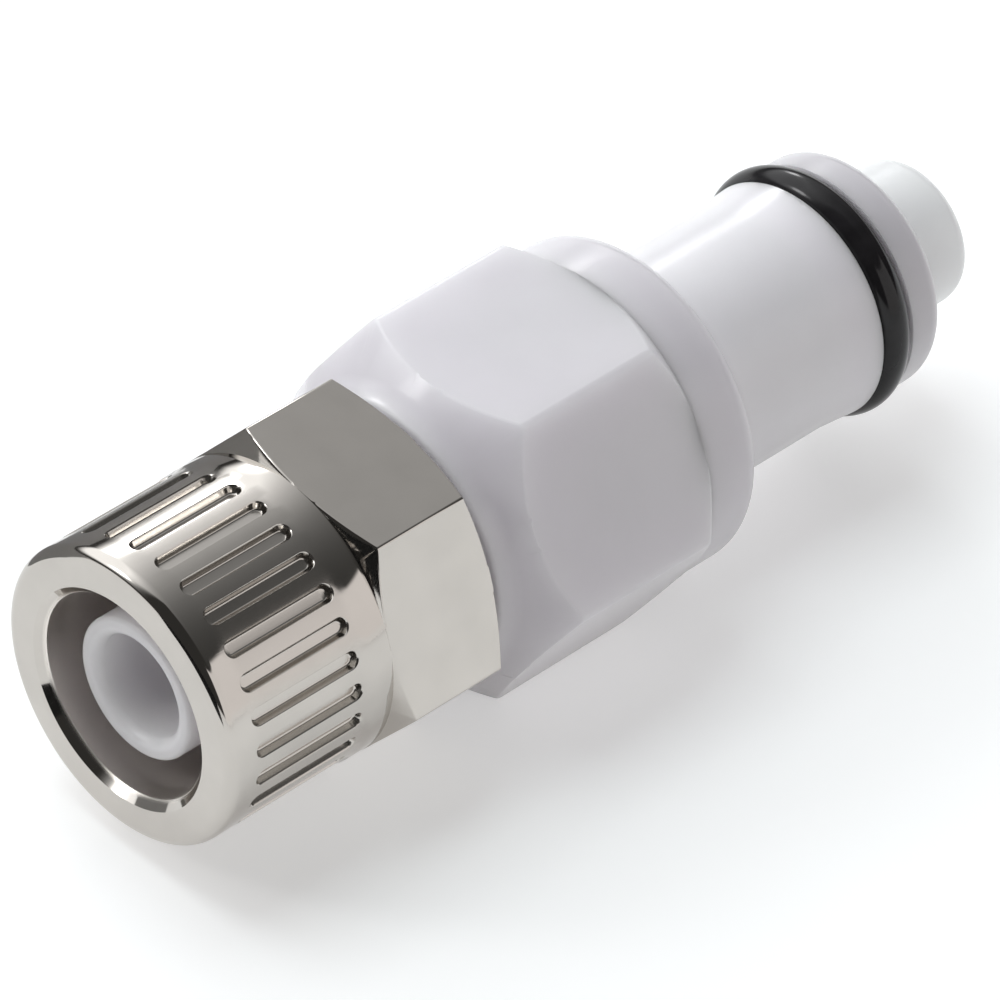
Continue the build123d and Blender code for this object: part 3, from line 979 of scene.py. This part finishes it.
class COUPLING_OT_valve_spring(bpy.types.Operator):
    """Winds the valve spring and grinds its ends"""

    bl_idname = "coupling.valve_spring"
    bl_label = "Valve spring"

    def execute(self, context):
        sizes = context.scene.coupling_spring
        low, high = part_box("valve_spring")
        coil_r = high.z - sizes.wire / 2
        steps = sizes.coil_steps
        pitch = (high.x - low.x - 2 * sizes.wire) / sizes.coils
        closed = [sizes.wire / steps] * steps
        active = [pitch / steps] * steps * sizes.coils
        bpy.ops.object.select_all(action="DESELECT")
        bpy.ops.mesh.primitive_circle_add(
            vertices=sizes.wire_sides, radius=sizes.wire / 2, location=(low.x, 0, coil_r),
            rotation=(pi / 2, 0, 0),
        )
        piece = context.object
        piece.name = piece.data.name = "spring_wound"
        bpy.ops.object.transform_apply(location=True, rotation=True, scale=True)
        bpy.ops.object.mode_set(mode="EDIT")
        bpy.ops.mesh.edge_face_add()
        choose(lambda edge: True, "EDGE")
        for rise in closed + active + closed:
            bpy.ops.mesh.extrude_edges_move(TRANSFORM_OT_translate={"value": (rise, 0, 0)})
            turn_about_axis(2 * pi / steps)
        bpy.ops.mesh.edge_face_add()
        for end, outwards in ((low.x, -1), (high.x, 1)):
            bpy.ops.mesh.select_all(action="SELECT")
            bpy.ops.mesh.bisect(
                plane_co=(end, 0, 0), plane_no=(outwards, 0, 0), use_fill=True, clear_outer=True,
                threshold=MERGE,
            )
        tidy_mesh()
        finish_piece(
            piece,
            finish("Spring wire", spring_steel, context.scene.coupling_finishes.steel),
            "body",
            "valve_spring",
        )
        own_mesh(piece)
        return {"FINISHED"}


class COUPLING_OT_inner_pieces(bpy.types.Operator):
    """Gives the seals and the spring's guide their finishes"""

    bl_idname = "coupling.inner_pieces"
    bl_label = "Inner pieces"

    def execute(self, context):
        finishes = context.scene.coupling_finishes
        rubber = finish("Black rubber", black_rubber, finishes.rubber)
        white = finish("White moulding", moulded_plastic, finishes.white, BODY_DEPTH)
        worn = {
            "valve_seal": rubber,
            "body_seal": rubber,
            "spring_guide": white,
        }
        for node, material in worn.items():
            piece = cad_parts[node]
            for slot in piece.material_slots:
                slot.material = material
        return {"FINISHED"}


class COUPLING_OT_stage(bpy.types.Operator):
    """Lays the floor and sets the lamps, the surroundings and the camera"""

    bl_idname = "coupling.stage"
    bl_label = "Stage"

    # Angles are in degrees, and the sizes of the cards in millimetres. A cloth fades outside its edges.
    camera_target = Vector((-15.835, -7.01, 7.572)) * MM
    camera_distance = 334.5 * MM
    camera_azimuth, camera_elevation, camera_roll = 312.255, 41.64, 5.332
    camera_lens, camera_sensor = 288, 36
    camera_clip = 10 * MM
    floor_size = 6
    paper_roughness = 0.9
    paper_lift = 0.4
    lamp_azimuth, lamp_elevation = 186, 72
    lamp_distance, lamp_size = 0.6, 0.35
    lamp_level = 3.24
    lamp_tint = (0.88, 0.97, 1.0)
    dark_tint = (0.045, 0.044, 0.042, 1)
    cloths = (
        {
            "azimuth": 120, "half_width": 108, "side_fade": 24,
            "low": 20, "low_fade": 9, "high": 90, "high_fade": 1,
            "strength": 1.5, "most": 1.7, "tint": (0.98, 0.99, 1.0),
            "glow": (186, 22), "glow_width": 38, "glow_fade": 18,
        },
        {
            "azimuth": 10, "half_width": 33, "side_fade": 4,
            "low": 5, "low_fade": 3, "high": 36, "high_fade": 3,
            "strength": 1.0, "tint": (1.0, 0.97, 0.96),
        },
        {
            "azimuth": 0, "half_width": 181, "side_fade": 1,
            "low": -1, "low_fade": 1, "high": 2, "high_fade": 3,
            "strength": 1.0, "tint": (1.0, 1.0, 1.0),
        },
        {
            "azimuth": 146, "half_width": 20, "side_fade": 1,
            "low": 0, "low_fade": 1, "high": 50, "high_fade": 1,
            "strength": 9.0, "most": 9.0, "tint": (1.0, 1.0, 1.0),
            "glow": (146, 25), "glow_width": 4, "glow_fade": 1.2,
        },
        {
            "azimuth": 226, "half_width": 25, "side_fade": 1,
            "low": 0, "low_fade": 1, "high": 60, "high_fade": 1,
            "strength": 9.0, "most": 9.0, "tint": (1.0, 1.0, 1.0),
            "glow": (226, 31), "glow_width": 5, "glow_fade": 1.2,
        },
    )
    cards = (
        {"name": "black_flag", "azimuth": -77, "distance": 66, "width": 66, "height": 22, "shade": 0.01},
        {"name": "grey_card", "azimuth": 180, "distance": 27, "width": 50, "height": 18, "shade": 0.45},
    )
    cards_centre = -25 * MM

    def execute(self, context):
        scene = context.scene
        self.floor(scene)
        self.surroundings(scene)
        self.camera(scene)
        for card in self.cards:
            self.card(**card)
        self.lamp(scene)
        scene.view_settings.view_transform = "Standard"
        return {"FINISHED"}

    def floor(self, scene):
        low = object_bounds()[0]
        bpy.ops.object.select_all(action="DESELECT")
        bpy.ops.mesh.primitive_plane_add(size=self.floor_size, location=(0, 0, low.z))
        floor = bpy.context.object
        floor.name = "floor"
        bpy.ops.object.transform_apply(location=True, rotation=True, scale=True)
        floor.data.materials.append(self.paper(scene.coupling_finishes.floor))
        floor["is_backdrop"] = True

    def paper(self, tint):
        """White paper, which the camera, metal and clear pieces see as white, but for its shadows."""
        material, shader = new_material("floor_paper", tint, self.paper_roughness)
        shader.inputs["Specular IOR Level"].default_value = 0.0
        shader.inputs["Emission Color"].default_value = (1, 1, 1, 1)
        rays = add_node(material, "ShaderNodeLightPath")
        seen = rays.outputs["Is Camera Ray"]
        for kind in ("Is Glossy Ray", "Is Transmission Ray"):
            seen = node_math(material, "MAXIMUM", seen, rays.outputs[kind])
        lift = node_math(material, "MULTIPLY", seen, self.paper_lift)
        material.node_tree.links.new(lift, shader.inputs["Emission Strength"])
        return material

    def card(self, name, azimuth, distance, width, height, shade):
        """A card that stands on the floor beside the nut, and is seen in its reflections alone."""
        floor_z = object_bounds()[0].z
        angle = radians(azimuth)
        bpy.ops.object.select_all(action="DESELECT")
        bpy.ops.mesh.primitive_plane_add(size=1, rotation=(pi / 2, 0, 0))
        card = bpy.context.object
        card.name = name
        bpy.ops.object.transform_apply(location=True, rotation=True, scale=True)
        card.scale = (width * MM, 1, height * MM)
        card.rotation_euler = (0, 0, angle)
        card.location = (
            self.cards_centre + sin(angle) * distance * MM,
            -cos(angle) * distance * MM,
            floor_z + height * MM / 2,
        )
        bpy.ops.object.transform_apply(location=True, rotation=True, scale=True)
        card.visible_camera = False
        card.visible_diffuse = False
        card.visible_transmission = False
        card.visible_shadow = False
        card.data.materials.append(new_material(name, (shade, shade, shade), 1.0)[0])
        card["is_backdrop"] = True

    def surroundings(self, scene):
        """A photographer's tent, dark but for its cloths, a white horizon and two lamps behind."""
        world = bpy.data.worlds.new("Surroundings")
        world.use_nodes = True
        nodes, links = world.node_tree.nodes, world.node_tree.links
        place = add_node(world, "ShaderNodeTexCoord").outputs["Generated"]
        dark = nodes["Background"]
        dark.inputs["Color"].default_value = self.dark_tint
        shader = dark.outputs[0]
        for cloth in self.cloths:
            lit = add_node(world, "ShaderNodeBackground")
            lit.inputs["Color"].default_value = (*cloth["tint"], 1)
            links.new(self.cloth_light(world, place, cloth), lit.inputs["Strength"])
            both = add_node(world, "ShaderNodeAddShader")
            links.new(shader, both.inputs[0])
            links.new(lit.outputs[0], both.inputs[1])
            shader = both.outputs[0]
        links.new(shader, nodes["World Output"].inputs["Surface"])
        scene.world = world

    def cloth_light(self, world, place, cloth):
        """Light of a cloth: its strength inside its edges, which fade over the given angles."""
        links = world.node_tree.links
        turned_place = add_node(world, "ShaderNodeVectorRotate", rotation_type="Z_AXIS")
        turned_place.inputs["Angle"].default_value = -radians(cloth["azimuth"] - 90)
        links.new(place, turned_place.inputs["Vector"])
        parts = add_node(world, "ShaderNodeSeparateXYZ")
        links.new(turned_place.outputs[0], parts.inputs[0])
        azimuth = node_math(world, "ARCTAN2", parts.outputs["Y"], parts.outputs["X"])
        azimuth = node_math(world, "ABSOLUTE", azimuth)
        elevation = node_math(world, "ARCSINE", parts.outputs["Z"])
        half_width, low, high = cloth["half_width"], cloth["low"], cloth["high"]
        edges = (
            self.fade(world, azimuth, half_width + cloth["side_fade"], half_width),
            self.fade(world, elevation, low - cloth["low_fade"], low),
            self.fade(world, elevation, high + cloth["high_fade"], high),
        )
        light = cloth["strength"]
        if "glow" in cloth:
            light = self.glow(world, place, cloth)
        for edge in edges:
            light = node_math(world, "MULTIPLY", light, edge)
        return light

    def glow(self, world, place, cloth):
        """Light that is strongest round one direction and dies away from it."""
        towards = add_node(world, "ShaderNodeVectorMath", operation="DOT_PRODUCT")
        towards.inputs[1].default_value = direction(*cloth["glow"])
        world.node_tree.links.new(place, towards.inputs[0])
        away = node_math(world, "ARCCOSINE", towards.outputs["Value"])
        past = node_math(world, "SUBTRACT", radians(cloth["glow_width"]), away)
        fading = node_math(world, "DIVIDE", past, radians(cloth["glow_fade"]))
        fading = node_math(world, "EXPONENT", fading)
        light = node_math(world, "MULTIPLY", fading, cloth["strength"])
        return node_math(world, "MINIMUM", light, cloth["most"])

    def fade(self, world, angle, dark, bright):
        """From 0 at one angle to 1 at another, both in degrees."""
        return rising(world, angle, radians(dark), radians(bright), "SMOOTHSTEP")

    def camera(self, scene):
        data = bpy.data.cameras.new("Camera")
        data.lens = self.camera_lens
        data.sensor_width = self.camera_sensor
        data.clip_start = self.camera_clip
        camera = bpy.data.objects.new("Camera", data)
        back = direction(self.camera_azimuth, self.camera_elevation)
        camera.location = self.camera_target + back * self.camera_distance
        camera.rotation_mode = "QUATERNION"
        roll = Quaternion((0, 0, 1), radians(self.camera_roll))
        camera.rotation_quaternion = (-back).to_track_quat("-Z", "Y") @ roll
        scene.collection.objects.link(camera)
        scene.camera = camera

    def lamp(self, scene):
        """A softbox above. Its power grows with its area, so its brightness keeps to the level."""
        data = bpy.data.lights.new("Top softbox", "AREA")
        data.shape = "SQUARE"
        data.size = self.lamp_size
        data.energy = self.lamp_level * pi * self.lamp_size ** 2
        data.color = self.lamp_tint
        lamp = bpy.data.objects.new("Top softbox", data)
        out = direction(self.lamp_azimuth, self.lamp_elevation)
        lamp.location = out * self.lamp_distance
        lamp.rotation_mode = "QUATERNION"
        lamp.rotation_quaternion = (-out).to_track_quat("-Z", "Y")
        lamp.visible_glossy = False
        scene.collection.objects.link(lamp)


operators = (
    COUPLING_OT_compression_nut,
    COUPLING_OT_hex_body,
    COUPLING_OT_nose_body,
    COUPLING_OT_nose_oring,
    COUPLING_OT_valve_stem,
    COUPLING_OT_valve_spring,
    COUPLING_OT_inner_pieces,
    COUPLING_OT_stage,
)


class COUPLING_PT_sidebar(bpy.types.Panel):
    """Lists the steps that make the coupling"""

    bl_idname = "COUPLING_PT_sidebar"
    bl_label = "Coupling"
    bl_space_type = "VIEW_3D"
    bl_region_type = "UI"
    bl_category = "Coupling"

    def draw(self, context):
        for operator in operators:
            self.layout.operator(operator.bl_idname)


settings = {
    "coupling_nut": NutSizes,
    "coupling_body": BodySizes,
    "coupling_nose": NoseSizes,
    "coupling_stem": StemSizes,
    "coupling_spring": SpringSizes,
    "coupling_finishes": Finishes,
}


def register():
    for group in settings.values():
        bpy.utils.register_class(group)
    for name, group in settings.items():
        setattr(bpy.types.Scene, name, PointerProperty(type=group))
    for operator in operators:
        bpy.utils.register_class(operator)
    bpy.utils.register_class(COUPLING_PT_sidebar)


def unregister():
    bpy.utils.unregister_class(COUPLING_PT_sidebar)
    for operator in reversed(operators):
        bpy.utils.unregister_class(operator)
    for name in settings:
        delattr(bpy.types.Scene, name)
    for group in reversed(settings.values()):
        bpy.utils.unregister_class(group)


def main():
    register()
    bpy.ops.coupling.compression_nut()
    bpy.ops.coupling.hex_body()
    bpy.ops.coupling.nose_body()
    bpy.ops.coupling.nose_oring()
    bpy.ops.coupling.valve_stem()
    bpy.ops.coupling.valve_spring()
    bpy.ops.coupling.inner_pieces()
    bpy.ops.coupling.stage()


if __name__ == "__main__":
    main()
